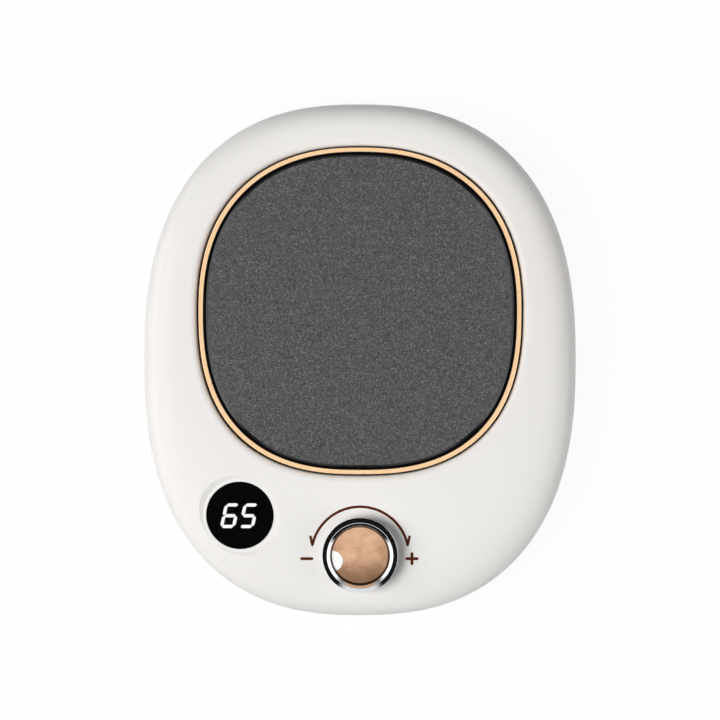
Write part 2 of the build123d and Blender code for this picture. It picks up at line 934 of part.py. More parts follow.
def make_sensor_leads():
    """Two leads from the sensor to the power board."""
    foot = retainer_bottom - sensor_flange_thickness
    leads = []
    for side in (-1, 1):
        start_x = side * sensor_tap_x
        pin_x = sensor_connector_x + side * connector_pitch / 2
        route = [
            (start_x, plate_y, foot),
            (start_x, plate_y, foot - sensor_lead_drop),
            (pin_x, rear_connectors_y - sensor_lead_bend, foot - sensor_lead_drop),
            (pin_x, rear_connectors_y, foot - sensor_lead_drop + sensor_lead_rise),
            (pin_x, rear_connectors_y, connector_top),
        ]
        leads.append(wire(route, sensor_wire_radius))
    return group(leads)


# ---- display ----
def make_display_lens():
    """Smoked round lens, flush with the floor of its recess."""
    lens = post(0, 0, lens_radius, lens_floor - lens_thickness, lens_floor)
    lens = chamfer(lens.edges().group_by(Axis.Z)[-1], lens_edge_break)
    return display_plane * lens


def segment(length, upright, x, y):
    """One bar of a digit with pointed ends, drawn level or upright."""
    half = length / 2
    side = segment_width / 2
    corners = [(-half, 0), (side - half, side), (half - side, side), (half, 0),
               (half - side, -side), (side - half, -side)]
    if upright:
        corners = [(b, a) for a, b in corners]
    lean = math.tan(math.radians(digit_slant))
    placed = [(x + a + lean * (y + b), y + b) for a, b in corners]
    return extrude(make_face(Polyline(*placed, close=True)), amount=segment_thickness)


def digit_segments(names, centre_x):
    """The named bars of one digit."""
    across = digit_width - segment_width
    step = (digit_height - segment_width) / 2
    bars = {
        "a": (across, False, 0, step),
        "b": (step, True, across / 2, step / 2),
        "c": (step, True, across / 2, -step / 2),
        "d": (across, False, 0, -step),
        "e": (step, True, -across / 2, -step / 2),
        "f": (step, True, -across / 2, step / 2),
        "g": (across, False, 0, 0),
    }
    solids = []
    for name in names:
        length, upright, x, y = bars[name]
        solids.append(segment(length - segment_gap, upright, centre_x + x, y))
    return solids


def make_segments(left_names, right_names):
    """Bars of both digits on the face of the display module."""
    left = digit_segments(left_names, -digit_pitch / 2)
    right = digit_segments(right_names, digit_pitch / 2)
    face = display_plane * Pos(digits_x, digits_y, module_top)
    return group([face * bar for bar in left + right])


def make_display_module():
    """Housing of the two-digit display."""
    return display_plane * block(0, 0, module_width, module_depth, display_board_top, module_top)


def board(width, depth, low, high, places):
    """Circuit board with rounded corners and holes for its screws."""
    outline = RectangleRounded(width, depth, board_corner_radius)
    plate = Pos(0, 0, low) * extrude(outline, amount=high - low)
    return without(plate, [post(x, y, plain_radius(), low - 1, high + 1) for x, y in places])


def make_display_board():
    """Small board behind the display module."""
    return display_plane * board(
        display_board_width, display_board_depth, display_board_bottom, display_board_top,
        display_screw_places,
    )


def make_display_screws():
    """Two screws that hold the display board to the upper shell."""
    return group(
        [
            display_plane * small_screw(x, y, display_board_bottom, display_screw_shank)
            for x, y in display_screw_places
        ]
    )


# ---- knob ----
def collar_bore(height):
    """Radius of the flared bore of the collar."""
    flare = (knob_top_radius - knob_foot_radius) / (knob_height - knob_rim_below_top)
    return knob_foot_radius - collar_wall + flare * (height - knob_running_gap)


def make_knob_collar():
    """Chromed flared collar with a rounded crest and an inner land for the wood."""
    foot = knob_running_gap
    crest = foot + knob_height
    seat_radius = insert_radius + insert_clearance
    profile = [
        (collar_bore(foot), foot),
        (knob_foot_radius, foot),
        (knob_top_radius, crest - knob_rim_below_top),
        (knob_crest_radius, crest),
        (knob_mouth_radius, crest - knob_mouth_drop),
        (seat_radius, knob_mouth_land + insert_thickness),
        (seat_radius, knob_mouth_land),
        (collar_bore(knob_mouth_land), knob_mouth_land),
    ]
    collar = ring_of(profile)
    soft = [
        edge
        for edge in collar.edges().filter_by(GeomType.CIRCLE)
        if edge.center().Z > knob_mouth_land + insert_thickness + level_margin
    ]
    return fillet(soft, knob_edge_round)


def make_knob_hub():
    """Plastic hub that carries the collar and grips the flat of the shaft."""
    low_radius = collar_bore(hub_bottom) - insert_clearance
    disc = ring_of(
        [
            (0, hub_bottom),
            (low_radius, hub_bottom),
            (collar_bore(knob_mouth_land) - insert_clearance, knob_mouth_land),
            (0, knob_mouth_land),
        ]
    )
    boss_foot_height = knob_running_gap + hub_boss_gap
    boss = post(0, 0, hub_boss_radius, boss_foot_height, hub_bottom + join_overlap)
    hub = disc + boss
    rib_start = hub_boss_radius - hub_rib_thickness
    rib_end = low_radius - hub_rib_thickness
    for step in range(hub_rib_count):
        rib = block(
            (rib_start + rib_end) / 2, 0, rib_end - rib_start, hub_rib_thickness,
            hub_bottom - hub_rib_depth, hub_bottom + join_overlap,
        )
        hub = hub + Rot(0, 0, full_turn * step / hub_rib_count) * rib
    bore = shaft_section(
        shaft_fit, knob_running_gap - join_overlap, knob_mouth_land - shaft_roof + shaft_fit
    )
    return hub - bore


def shaft_section(margin, low, high):
    """D-shaped length of the shaft."""
    radius = shaft_radius + margin
    flat_y = shaft_radius - shaft_flat + margin
    return post(0, 0, radius, low, high) & block(
        0, flat_y - radius, 2 * radius, 2 * radius, low, high
    )


def wood_blank(radius, low):
    """Disc with a gently domed top."""
    top = knob_mouth_land + insert_thickness
    sphere_radius = (insert_radius**2 + insert_dome**2) / (2 * insert_dome)
    disc = post(0, 0, radius, low, top + insert_dome)
    ball = Pos(0, 0, top + insert_dome - sphere_radius) * Sphere(sphere_radius)
    return disc & ball


def marker_blank(margin, low):
    """Round inlay at the edge of the wood."""
    x = insert_radius * math.cos(math.radians(marker_angle))
    y = insert_radius * math.sin(math.radians(marker_angle))
    return post(x, y, marker_radius + margin, low, knob_mouth_land + insert_thickness + 1)


def make_knob_insert():
    """Wood disc with a pocket for the marker."""
    pocket_floor = knob_mouth_land + insert_thickness - marker_thickness
    return wood_blank(insert_radius, knob_mouth_land) - marker_blank(marker_clearance, pocket_floor)


def make_knob_marker():
    """White inlay, trimmed to the edge of the wood."""
    pocket_floor = knob_mouth_land + insert_thickness - marker_thickness
    return wood_blank(insert_radius, knob_mouth_land) & marker_blank(0, pocket_floor)


# ---- encoder, along the axis of the knob ----
def plunger_foot():
    """Underside of the plunger at rest."""
    return control_board_top + encoder_case_floor + snap_dome_thickness + plunger_spare + press_travel


def shaft_foot():
    """Underside of the shaft's collar, just over the plunger."""
    return plunger_foot() + plunger_thickness + plunger_top_gap


def make_encoder_case():
    """Encoder case with the cavity for the plunger and a bushing round the shaft."""
    top = -encoder_depth
    case = block(0, 0, encoder_size, encoder_size, control_board_top, top)
    case = chamfer(case.edges().filter_by(Axis.Z), encoder_corner)
    case = case + post(0, 0, bushing_radius, top - join_overlap, -bushing_top)
    cavity = post(
        0, 0, encoder_cavity_radius, control_board_top + encoder_case_floor, top - encoder_case_roof
    )
    bore = post(0, 0, shaft_radius + bushing_fit, top - encoder_case_roof - join_overlap, 0)
    return without(case, [cavity, bore])


def make_encoder_plunger():
    """Push-switch plunger under the shaft."""
    low = plunger_foot()
    return post(0, 0, plunger_radius, low, low + plunger_thickness)


def make_snap_dome():
    """Switch dome on the floor of the case, drawn at its pressed height."""
    low = control_board_top + encoder_case_floor
    return post(0, 0, snap_dome_radius, low, low + snap_dome_thickness)


def make_encoder_shaft():
    """Shaft from the plunger up into the hub, with a flat for the hub."""
    low = shaft_foot()
    high = knob_mouth_land - shaft_roof
    flat_start = knob_running_gap
    shaft = post(0, 0, shaft_radius, low, flat_start)
    shaft = shaft + shaft_section(0, flat_start - join_overlap, high)
    return shaft + post(0, 0, shaft_collar_radius, low, low + shaft_collar_height)


def terminal_places():
    """Two rows of encoder terminals: three contacts and two for the switch."""
    front = [(column * terminal_pitch, -terminal_row) for column in (-1, 0, 1)]
    rear = [(column * terminal_pitch, terminal_row) for column in (-1, 1)]
    return front + rear


def make_encoder_terminals():
    """Terminals of the encoder, through the control board."""
    high = control_board_top
    return group(
        [
            block(x, y, terminal_size, terminal_size, high - terminal_length, high)
            for x, y in terminal_places()
        ]
    )


# ---- control board ----
def make_control_board():
    """Board under the knob, parallel to the panel."""
    plate = board(
        control_board_width, control_board_depth, control_board_bottom, control_board_top,
        control_screw_places,
    )
    holes = [
        post(x, y, terminal_hole_radius, control_board_bottom - 1, control_board_top + 1)
        for x, y in terminal_places()
    ]
    return without(plate, holes)


def make_control_screws():
    """Screws that hold the control board to the upper shell."""
    return group(
        [
            small_screw(x, y, control_board_bottom, control_screw_shank)
            for x, y in control_screw_places
        ]
    )


def make_microcontroller():
    """Controller chip under the control board."""
    return block(
        chip_x, chip_y, chip_size, chip_size, control_board_bottom - chip_height, control_board_bottom
    )


def make_buzzer():
    """Round buzzer under the control board, its sound hole downwards."""
    low = control_board_bottom - buzzer_height
    can = post(buzzer_x, buzzer_y, buzzer_radius, low, control_board_bottom)
    return can - post(buzzer_x, buzzer_y, buzzer_hole_radius, low - 1, low + buzzer_hole_depth)


def ribbon_width():
    """Width across all the wires of a ribbon."""
    return ribbon_pitch * (ribbon_count - 1) + 2 * ribbon_wire_radius


def ribbon_offsets():
    """Sideways places of the wires of a ribbon."""
    return [ribbon_pitch * (number - (ribbon_count - 1) / 2) for number in range(ribbon_count)]


def side_connector(x, y, depth_along_x, surface):
    """Side-entry header hanging under a board."""
    long_side = ribbon_width() + 2
    width = side_connector_depth if depth_along_x else long_side
    depth = long_side if depth_along_x else side_connector_depth
    return block(x, y, width, depth, surface - side_connector_height, surface)


side_connector_level = side_connector_height / 2
panel_entry_y = control_board_depth / 2 - 1.0
display_entry_x = -control_board_width / 2 + 1.0
display_entry_y = 2.2
display_exit_x = display_board_width / 2 - 0.5


def make_control_connectors():
    """Headers under the control board for the two ribbons."""
    to_power = side_connector(
        0, panel_entry_y - side_connector_depth / 2, False, control_board_bottom
    )
    to_display = side_connector(
        display_entry_x + side_connector_depth / 2, display_entry_y, True, control_board_bottom
    )
    return group([to_power, to_display])


def make_display_connector():
    """Header under the display board for its ribbon."""
    return display_plane * side_connector(
        display_exit_x - side_connector_depth / 2, 0, True, display_board_bottom
    )


# ---- power board ----
def make_power_board():
    """Board on the base, with a tongue that carries the inlet."""
    depth = power_board_rear - power_board_front
    centre_y = (power_board_rear + power_board_front) / 2
    outline = Pos(0, centre_y) * RectangleRounded(power_board_width, depth, board_corner_radius)
    outline += Pos(0, power_board_rear) * Rectangle(power_tongue_width, 2 * power_tongue_length)
    plate = Pos(0, 0, board_bottom) * extrude(outline, amount=board_thickness)
    holes = [post(x, y, plain_radius(), 0, board_top + 1) for x, y in power_screw_places]
    return without(plate, holes)


def make_power_board_screws():
    """Screws that hold the power board to its posts."""
    return group(
        [small_screw_down(x, y, board_top, power_screw_shank) for x, y in power_screw_places]
    )


def make_power_transistor():
    """Flat power transistor with its cooling tab."""
    body = block(
        transistor_x, transistor_y, transistor_width, transistor_depth,
        board_top, board_top + transistor_height,
    )
    tab = block(
        transistor_x, transistor_y + (transistor_depth + transistor_tab) / 2 - join_overlap,
        transistor_width - 2 * transistor_tab_inset, transistor_tab + 2 * join_overlap,
        board_top, board_top + transistor_tab_thickness,
    )
    return body + tab


def make_capacitors():
    """Two upright capacitors with rounded cans."""
    cans = []
    for side in (-1, 1):
        y = capacitor_y + side * capacitor_pitch / 2
        can = post(capacitor_x, y, capacitor_radius, board_top, board_top + capacitor_height)
        cans.append(fillet(can.edges().group_by(Axis.Z)[-1], 0.5))
    return group(cans)


def top_connector(x, y, ways, pitch):
    """Upright header on the power board."""
    width = pitch * ways + 1.0
    return block(x, y, width, connector_depth, board_top, connector_top)


def make_board_connectors():
    """Headers of the heater, the sensor and the control ribbon."""
    return group(
        [
            top_connector(heater_connector_x, rear_connectors_y, 2, connector_pitch),
            top_connector(sensor_connector_x, rear_connectors_y, 2, connector_pitch),
            top_connector(panel_connector_x, panel_connector_y, ribbon_count, ribbon_pitch),
        ]
    )


# ---- inlet ----
def inlet_face_y():
    """Mouth of the receptacle, just inside the rear face of the base."""
    return rear_wall_y() - inlet_recess


def make_inlet_shell():
    """Steel shell of the receptacle, closed at the back."""
    outside = Pos(0, inlet_face_y(), inlet_z) * extrude(inlet_outline(0), amount=inlet_depth)
    inside = Pos(0, inlet_face_y() + 1, inlet_z) * extrude(
        inlet_outline(-inlet_shell_wall), amount=inlet_depth - inlet_shell_wall + 1
    )
    return outside - inside


def make_inlet_tongue():
    """Insulator of the receptacle with its contact tongue."""
    back = inlet_face_y() - inlet_depth + inlet_shell_wall
    plug = Pos(0, back + insulator_depth, inlet_z) * extrude(
        inlet_outline(-inlet_shell_wall - insulator_clearance), amount=insulator_depth
    )
    blade = Pos(0, back + insulator_depth + tongue_length / 2 - join_overlap, inlet_z) * Box(
        tongue_width, tongue_length + 2 * join_overlap, tongue_thickness
    )
    return plug + blade


# ---- ribbons ----
def make_panel_harness():
    """Ribbon from the power board forward to the control board."""
    entry_z = control_board_bottom - side_connector_level
    wires = []
    for offset in ribbon_offsets():
        arrival = knob_plane.from_local_coords(Vector(offset, panel_entry_y, entry_z))
        approach = knob_plane.from_local_coords(
            Vector(offset, panel_entry_y + ribbon_lead_in, entry_z)
        )
        points = [
            (panel_connector_x + offset, panel_connector_y, connector_top),
            (panel_connector_x + offset, panel_connector_y, connector_top + ribbon_rise),
            (
                panel_connector_x + offset,
                panel_connector_y - ribbon_first_run,
                connector_top + ribbon_rise / 2,
            ),
            (
                panel_connector_x / 2 + offset,
                ribbon_middle_y,
                connector_top - ribbon_middle_drop,
            ),
            (approach.X, approach.Y, approach.Z),
            (arrival.X, arrival.Y, arrival.Z),
        ]
        wires.append(wire(points, ribbon_wire_radius))
    return group(wires)


def make_display_harness():
    """Short ribbon from the display board to the control board."""
    start_z = display_board_bottom - side_connector_level
    end_z = control_board_bottom - side_connector_level
    wires = []
    for offset in ribbon_offsets():
        start = display_plane.from_local_coords(Vector(display_exit_x, offset, start_z))
        leave = display_plane.from_local_coords(
            Vector(display_exit_x + ribbon_lead_out + offset, offset, start_z)
        )
        approach = knob_plane.from_local_coords(
            Vector(display_entry_x - ribbon_lead_out + offset, display_entry_y + offset, end_z)
        )
        arrival = knob_plane.from_local_coords(
            Vector(display_entry_x, display_entry_y + offset, end_z)
        )
        points = [(p.X, p.Y, p.Z) for p in (start, leave, approach, arrival)]
        wires.append(wire(points, ribbon_wire_radius))
    return group(wires)


# ---- write every piece ----
def on_knob(solid):
    """Piece placed on the axis of the knob."""
    return knob_plane * solid


def on_knob_group(compound):
    """Group of pieces placed on the axis of the knob."""
    return group([knob_plane * solid for solid in compound.solids()])


def main():
    """Writes one file for each named piece."""
    os.makedirs("parts", exist_ok=True)
    pieces = {
        "top_shell": make_top_shell(),
        "base_shell": make_base_shell(),
        "rubber_feet": make_feet(),
        "housing_screws": make_casing_screws(),
        "plate_frame": make_plate_frame(),
        "trim_ring": make_trim_ring(),
        "plate_seal": make_plate_seal(),
        "plate_glass": make_plate_glass(),
        "heat_spreader": plate_prism(spreader_half_width, spreader_bottom, glass_bottom),
        "heating_film": make_heating_film(),
        "insulation_pad": make_insulation_pad(),
        "heater_retainer": make_heater_retainer(),
        "retainer_screws": make_retainer_screws(),
        "temperature_sensor": make_temperature_sensor(),
        "thermal_cutout": make_thermal_cutout(),
        "heater_leads": make_heater_leads(),
        "sensor_leads": make_sensor_leads(),
        "display_lens": make_display_lens(),
        "display_digits": make_segments("acdefg", "acdfg"),
        "display_segments_off": make_segments("b", "be"),
        "display_module": make_display_module(),
        "display_board": make_display_board(),
        "display_screws": make_display_screws(),
        "display_connector": make_display_connector(),
        "display_harness": make_display_harness(),
        "knob_collar": on_knob(make_knob_collar()),
        "knob_hub": on_knob(make_knob_hub()),
        "knob_insert": on_knob(make_knob_insert()),
        "knob_marker": on_knob(make_knob_marker()),
        "encoder_shaft": on_knob(make_encoder_shaft()),
        "encoder_plunger": on_knob(make_encoder_plunger()),
        "encoder_case": on_knob(make_encoder_case()),
        "snap_dome": on_knob(make_snap_dome()),
        "encoder_terminals": on_knob_group(make_encoder_terminals()),
        "control_board": on_knob(make_control_board()),
        "control_screws": on_knob_group(make_control_screws()),
        "microcontroller": on_knob(make_microcontroller()),
        "buzzer": on_knob(make_buzzer()),
        "control_connectors": on_knob_group(make_control_connectors()),
        "power_board": make_power_board(),
        "power_board_screws": make_power_board_screws(),
        "power_transistor": make_power_transistor(),
        "capacitors": make_capacitors(),
        "board_connectors": make_board_connectors(),
        "usb_socket_shell": make_inlet_shell(),
        "usb_socket_tongue": make_inlet_tongue(),
        "panel_harness": make_panel_harness(),
    }
    for name, piece in pieces.items():
        export_step(piece, f"parts/{name}.step")


main()
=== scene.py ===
import json
import math

import bpy
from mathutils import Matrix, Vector
from mathutils.bvhtree import BVHTree


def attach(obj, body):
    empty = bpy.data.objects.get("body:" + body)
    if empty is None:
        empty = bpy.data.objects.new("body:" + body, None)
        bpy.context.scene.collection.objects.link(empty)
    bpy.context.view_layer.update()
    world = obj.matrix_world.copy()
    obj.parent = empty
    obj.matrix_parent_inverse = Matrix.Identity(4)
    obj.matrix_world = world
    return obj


# Electric mug warmer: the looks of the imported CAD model. Metres, +X right, +Y rear, +Z up.
MM = 0.001

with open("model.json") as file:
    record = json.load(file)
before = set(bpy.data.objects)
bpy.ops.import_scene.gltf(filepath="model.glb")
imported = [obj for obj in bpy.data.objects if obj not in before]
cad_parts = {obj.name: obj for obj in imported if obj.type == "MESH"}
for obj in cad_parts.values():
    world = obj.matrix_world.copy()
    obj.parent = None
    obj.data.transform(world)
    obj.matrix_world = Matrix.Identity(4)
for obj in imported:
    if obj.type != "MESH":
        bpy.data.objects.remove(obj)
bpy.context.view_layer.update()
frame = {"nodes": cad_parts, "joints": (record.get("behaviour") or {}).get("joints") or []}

# ---- sizes on the object, in millimetres and degrees ----
BORE_SHADE_RADIUS, BORE_SHADE_EDGE = 8.9, 0.06  # radius and soft edge of the painted dark shade in the knob collar's bore, round the wood
WOOD_FRONT_SHADE = (-7.0, 0.5)  # along the disc, painted shade from darkest to none
WOOD_RIM_SHADE = (4.5, 8.0)  # radii between which painted shade darkens its rim
WOOD_RIM_SHADE_END = (1.0, 6.0)  # along the disc, where that painted rim shade ends
WOOD_SHADE_WANDER = 0.8  # how far the edge of the painted front shade wanders
LENS_X, LENS_Y = -35.64, -46.1
WINDOW_X, WINDOW_Y = 6.4, 4.6  # half sizes of the clear window in the lens
WINDOW_FADE = 0.8  # width of that window's soft edge
ARC_Y = -57.9
ARC_RADIUS = 14.45
ARC_FIRST, ARC_LAST = 12.6, 167.4
ARC_STEPS = 72
INK_WIDTH = 0.78
SIGN_WIDTH = 0.88
SIGN_LENGTH = 3.9
MINUS_X, PLUS_X, SIGNS_Y = -15.75, 15.4, -58.85
BARB_OUT, BARB_UP = 0.55, 2.4
INK_ABOVE, INK_BELOW = 0.02, 0.06
RAY_START = 50.0  # over the floor, above every piece

# ---- display ----
LENS_ALPHA = 0.75  # in the window
FIGURE_GLOW = 16.5  # strength of the lit bars

# ---- the knob's axis, from the record ----
knob_joint = next(joint for joint in frame["joints"] if joint["name"] == "knob_turn")

# ---- camera and light ----
FRAME_PIXELS = 720
PIXEL_MM = 0.3  # one pixel at the casing's widest level
CAMERA_LENS, SENSOR = 200.0, 36.0
BELT_MM = 12.0  # height of that level
CLIP_END = 20.0
FILL = 0.02  # world light on matt surfaces
FLOOR_GLOW = 0.95  # share of plain white in what the camera sees of the floor
FLOOR_RADIUS, FLOOR_POINTS = 2500, 96  # millimetres
LAMP_DISTANCE, LAMP_SIZE = 1.4, 0.55  # metres
LAMPS = (  # name, azimuth and elevation in degrees, watts
    ("key", 198, 65, 15.2),
    ("left_soft", 180, 42, 4.3),
    ("right_soft", 345, 40, 2.8),
    ("right_low", 350, 12, 3.2),
)
CARD_OVERHEAD, CARD_SIDE, CARD_LEFT, CARD_RIGHT = 1.15, 1.8, 3.0, 2.2  # strengths
CARD_FRONT, CARD_WARM, WALLS, FRONT_WALL = 0.92, 0.8, 0.01, 0.03
CARD_WARM_COLOUR = (240, 196, 158)

# ---- the middle of a noise, where most of its values lie ----
NOISE_LOW, NOISE_HIGH = 0.3, 0.7


def srgb(red, green, blue):
    """Linear colour of an 8-bit sRGB one."""
    channels = []
    for value in (red, green, blue):
        share = value / 255
        if share <= 0.04045:
            channels.append(share / 12.92)
        else:
            channels.append(((share + 0.055) / 1.055) ** 2.4)
    return (*channels, 1.0)


# ---- node building ----
class Nodes:
    """A node tree with short ways to add what the materials and the light below need."""

    def __init__(self, tree):
        self.tree = tree

    def node(self, kind, **settings):
        made = self.tree.nodes.new(kind)
        for key, value in settings.items():
            setattr(made, key, value)
        return made

    def link(self, out, into):
        self.tree.links.new(out, into)

    def put(self, socket, value):
        """Links an output to a socket, or sets a plain value on it."""
        if isinstance(value, bpy.types.NodeSocket):
            self.link(value, socket)
        else:
            socket.default_value = value

    def math(self, operation, first, second=None):
        made = self.node("ShaderNodeMath", operation=operation)
        for socket, value in zip(made.inputs, (first, second)):
            if value is not None:
                self.put(socket, value)
        return made.outputs[0]

    def total(self, *values):
        """Sum of several values."""
        result = values[0]
        for value in values[1:]:
            result = self.math("ADD", result, value)
        return result

    def product(self, *values):
        """Product of several values."""
        result = values[0]
        for value in values[1:]:
            result = self.math("MULTIPLY", result, value)
        return result

    def spread(self, value, low, high, out_low=0.0, out_high=1.0, smooth=False):
        """Value taken from one range to another, held at both ends."""
        made = self.node("ShaderNodeMapRange")
        made.interpolation_type = "SMOOTHSTEP" if smooth else "LINEAR"
        self.link(value, made.inputs["Value"])
        for name, number in (
            ("From Min", low), ("From Max", high), ("To Min", out_low), ("To Max", out_high),
        ):
            made.inputs[name].default_value = number
        return made.outputs["Result"]

    def length(self, first, second):
        """Length of a flat vector."""
        squares = self.total(self.product(first, first), self.product(second, second))
        return self.math("SQRT", squares)

    def rise(self, value, low, high):
        """0 below low, 1 above high, smooth between."""
        return self.spread(value, low, high, smooth=True)

    def choose(self, share, first, second):
        """Plain number between two by a share."""
        made = self.node("ShaderNodeMix", data_type="FLOAT")
        self.put(made.inputs[0], share)
        self.put(made.inputs[2], first)
        self.put(made.inputs[3], second)
        return made.outputs[0]

    def apart(self, vector):
        made = self.node("ShaderNodeSeparateXYZ")
        self.link(vector, made.inputs[0])
        return made.outputs["X"], made.outputs["Y"], made.outputs["Z"]


class Shader(Nodes):
    """A material on one Principled shader."""

    def __init__(self, name):
        self.material = bpy.data.materials.new(name)
        self.material.use_nodes = True
        super().__init__(self.material.node_tree)
        self.surface = self.tree.nodes["Principled BSDF"]
        self.place = self.node("ShaderNodeTexCoord").outputs["Object"]

    def set(self, **values):
        """Plain or linked values on the Principled shader, named with underscores."""
        for key, value in values.items():
            self.put(self.surface.inputs[key.replace("_", " ")], value)

    def mapped(self, scale=(1, 1, 1), turn=(0, 0, 0), start=(0, 0, 0), place=None):
        """Object coordinates, moved so that start is the origin, turned and scaled."""
        moved = self.node("ShaderNodeVectorMath", operation="SUBTRACT")
        self.link(place or self.place, moved.inputs[0])
        moved.inputs[1].default_value = start
        mapping = self.node("ShaderNodeMapping")
        self.link(moved.outputs[0], mapping.inputs["Vector"])
        mapping.inputs["Rotation"].default_value = [math.radians(a) for a in turn]
        mapping.inputs["Scale"].default_value = scale
        return mapping.outputs["Vector"]

    def noise(self, scale, detail=3.0, rough=0.5, place=None, distortion=0.0):
        made = self.node("ShaderNodeTexNoise")
        self.link(place or self.place, made.inputs["Vector"])
        made.inputs["Scale"].default_value = scale
        made.inputs["Detail"].default_value = detail
        made.inputs["Roughness"].default_value = rough
        made.inputs["Distortion"].default_value = distortion
        return made.outputs["Fac"]

    def cells(self, scale, out="Distance", place=None, randomness=1.0):
        made = self.node("ShaderNodeTexVoronoi")
        self.link(place or self.place, made.inputs["Vector"])
        made.inputs["Scale"].default_value = scale
        made.inputs["Randomness"].default_value = randomness
        return made.outputs[out]

    def wave(self, scale, place=None, bands="X", distortion=0.0, detail=0.0):
        made = self.node("ShaderNodeTexWave", bands_direction=bands)
        self.link(place or self.place, made.inputs["Vector"])
        made.inputs["Scale"].default_value = scale
        made.inputs["Distortion"].default_value = distortion
        made.inputs["Detail"].default_value = detail
        return made.outputs["Fac"]

    def ramp(self, value, *stops):
        """Colour ramp through (position, colour) stops."""
        made = self.node("ShaderNodeValToRGB")
        self.link(value, made.inputs["Fac"])
        bar = made.color_ramp.elements
        while len(bar) < len(stops):
            bar.new(0.5)
        for element, (position, colour) in zip(bar, stops):
            element.position = position
            element.color = colour
        return made.outputs["Color"]

    def tones(self, noise, low, high):
        """Colour between two tones by a noise."""
        return self.ramp(noise, (NOISE_LOW, low), (NOISE_HIGH, high))

    def uneven(self, noise, low, high):
        """Value between two by a noise."""
        return self.spread(noise, NOISE_LOW, NOISE_HIGH, low, high)

    def mix(self, share, first, second):
        made = self.node("ShaderNodeMix", data_type="RGBA")
        self.put(made.inputs[0], share)
        self.put(made.inputs[6], first)
        self.put(made.inputs[7], second)
        return made.outputs[2]

    def upward(self):
        """How far the surface faces up, from -1 to 1."""
        return self.apart(self.node("ShaderNodeNewGeometry").outputs["Normal"])[2]

    def bump(self, height, depth, strength=1.0, before=None):
        """Bump of a depth in millimetres; gives the normal."""
        made = self.node("ShaderNodeBump")
        made.inputs["Strength"].default_value = strength
        made.inputs["Distance"].default_value = depth * MM
        self.link(height, made.inputs["Height"])
        if before is not None:
            self.link(before, made.inputs["Normal"])
        return made.outputs["Normal"]


# ---- materials that the camera sees most ----
def shell_material():
    """Satin off-white moulding with a barely visible moulded texture."""
    s = Shader("shell_white")
    broad = s.noise(9, 2, 0.5)
    fine = s.noise(1400, 2, 0.6)
    s.set(
        Base_Color=s.tones(broad, srgb(235, 232, 229), srgb(240, 238, 235)),
        Roughness=s.uneven(s.noise(60, 4, 0.6), 0.33, 0.42),
        Specular_IOR_Level=0.4,
        Normal=s.bump(fine, 0.01, 0.35, s.bump(s.noise(70, 2, 0.5), 0.02, 0.3)),
    )
    return s.material


def glass_material():
    """Dark frosted glass with an even sparkling grain, and a polished dark bevel."""
    s = Shader("plate_grey")
    top = s.spread(s.upward(), 0.93, 0.97)
    flakes = s.apart(s.cells(3400, "Color"))[0]
    grain = s.choose(0.2, flakes, s.noise(1500, 3, 0.7))
    frosted = s.ramp(
        grain,
        (0.08, srgb(40, 40, 41)),
        (0.45, srgb(68, 68, 69)),
        (0.80, srgb(92, 92, 94)),
        (0.97, srgb(132, 132, 135)),
    )
    s.set(
        Base_Color=s.mix(top, srgb(22, 22, 23), frosted),
        Roughness=s.choose(top, 0.16, s.spread(grain, 0.1, 0.9, 0.36, 0.5)),
        Specular_IOR_Level=0.5,
        Normal=s.bump(s.product(grain, top), 0.02, 0.5),
    )
    return s.material


def gold_material():
    """Satin rose-gold plating with a fine grain."""
    s = Shader("ring_gold")
    tone = s.noise(160, 3, 0.6)
    s.set(
        Base_Color=s.tones(tone, srgb(251, 209, 162), srgb(254, 215, 170)),
        Metallic=0.72,
        Roughness=s.uneven(s.noise(900, 4, 0.7), 0.26, 0.34),
        Normal=s.bump(s.noise(2600, 2, 0.5), 0.002, 0.3),
    )
    return s.material


def knob_place(shader):
    """Coordinates on the knob's own axis, from the middle of its foot."""
    axis = Vector(knob_joint["axis"])
    lean = math.degrees(math.atan2(-axis.y, axis.z))
    return shader.mapped(turn=(-lean, 0, 0), start=knob_joint["pos_m"])


def chrome_material():
    """Polished chrome with faint handling marks; the bore round the wood is painted a dark satin,
    as shade in the gap there.
    """
    s = Shader("collar_chrome")
    across, along, _ = s.apart(knob_place(s))
    radius = s.length(across, along)
    # Painted shade: inside this radius the collar takes a dark brownish colour and a duller finish,
    # for the shade in the gap round the wood.
    bright = s.spread(radius, (BORE_SHADE_RADIUS - BORE_SHADE_EDGE) * MM, BORE_SHADE_RADIUS * MM)
    marks = s.spread(s.noise(300, 5, 0.65), 0.4, 0.75, 0.035, 0.075)
    chrome = s.tones(s.noise(120, 2), srgb(226, 226, 229), srgb(234, 234, 236))
    s.set(
        Base_Color=s.mix(bright, srgb(104, 90, 80), chrome),
        Metallic=1.0,
        Roughness=s.choose(bright, 0.4, marks),
        Normal=s.bump(s.noise(160, 2), 0.006, 0.25),
    )
    return s.material


